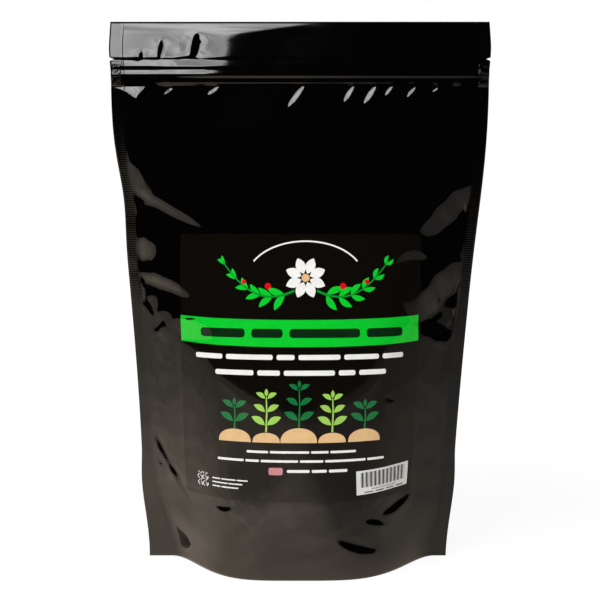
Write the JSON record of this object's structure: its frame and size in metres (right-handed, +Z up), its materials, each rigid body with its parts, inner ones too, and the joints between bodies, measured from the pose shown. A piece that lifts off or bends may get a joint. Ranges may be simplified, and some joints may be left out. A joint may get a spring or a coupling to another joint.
{
  "type": "compost bag",
  "caption": "Filled stand-up pouch of potting compost: glossy black film, zip header, pinched gusset base, front label and barcode sticker.",
  "frame": {"origin": "on the floor, under the middle of the pouch's header, which is the middle of its width and depth", "axes": "+Z up from the floor to the cut top edge, -Y out of the front film that carries the label, +X to the right as seen from the front"},
  "size_m": [0.28, 0.128, 0.402],
  "materials": {
    "film": "glossy black laminated film, heat sealed",
    "label_paper": "satin printed label, near-black ground with a green band",
    "sticker_paper": "matt white sticker with black bars"
  },
  "bodies": {
    "root": {"pouch": "film", "front_label": "label_paper", "barcode_label": "sticker_paper"}
  },
  "joints": []
}
